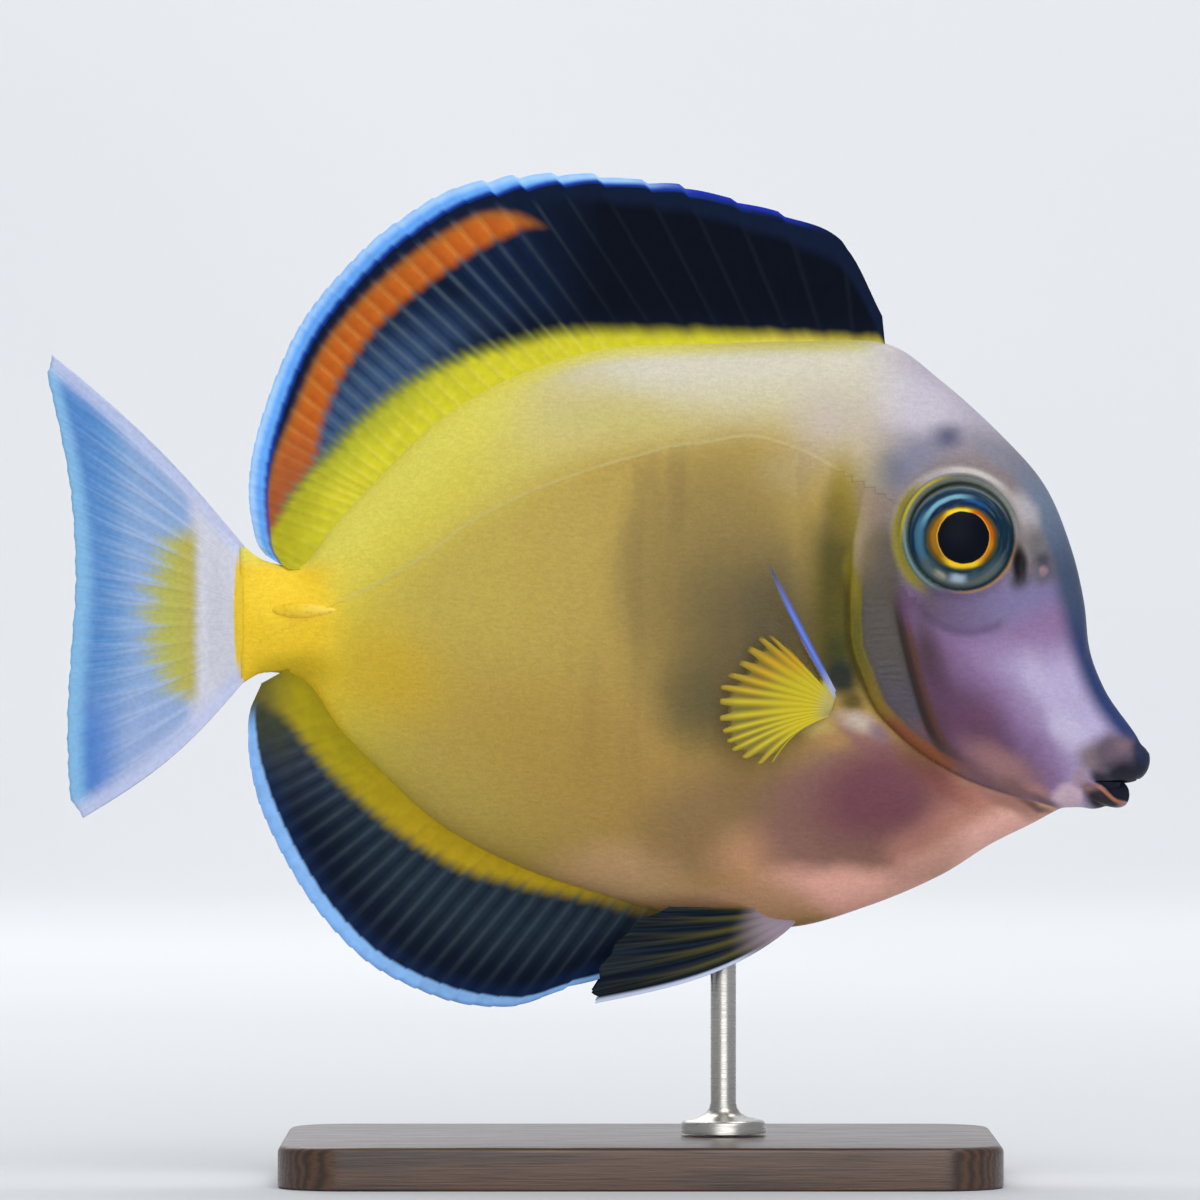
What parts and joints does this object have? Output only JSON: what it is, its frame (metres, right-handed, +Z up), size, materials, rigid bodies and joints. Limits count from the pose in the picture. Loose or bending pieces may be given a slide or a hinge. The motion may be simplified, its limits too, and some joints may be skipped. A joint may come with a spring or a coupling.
{
  "type": "japan surgeonfish model",
  "caption": "Life-size still model of a Japan surgeonfish, a deep flat-sided reef fish with a tall dorsal fin, on a plain display stand.",
  "frame": {"origin": "on the floor, under the middle of the fish's length and in its middle plane", "axes": "+X towards the fish's head, +Y to its left side, +Z up from the floor"},
  "size_m": [0.1298, 0.056, 0.1183],
  "materials": {
    "head": "satin, scaled skin",
    "torso": "satin, scaled skin",
    "tail_stalk": "satin, scaled skin",
    "tail_fin": "satin web with rays",
    "dorsal_fin": "satin web with rays",
    "anal_fin": "satin web with rays",
    "pectoral_fin_right": "satin web with rays",
    "pectoral_fin_left": "satin web with rays",
    "pelvic_fin_right": "satin web with rays",
    "pelvic_fin_left": "satin web with rays",
    "eye_right": "wet gloss",
    "eye_left": "wet gloss",
    "scalpel_right": "satin",
    "scalpel_left": "satin",
    "stand_base": "satin varnish",
    "stand_rod": "brushed"
  },
  "bodies": {
    "root": {"head": "head", "torso": "torso", "tail_stalk": "tail_stalk", "tail_fin": "tail_fin", "dorsal_fin": "dorsal_fin", "anal_fin": "anal_fin", "pectoral_fin_right": "pectoral_fin_right", "pectoral_fin_left": "pectoral_fin_left", "pelvic_fin_right": "pelvic_fin_right", "pelvic_fin_left": "pelvic_fin_left", "eye_right": "eye_right", "eye_left": "eye_left", "scalpel_right": "scalpel_right", "scalpel_left": "scalpel_left", "stand_base": "stand_base", "stand_rod": "stand_rod"}
  },
  "joints": []
}
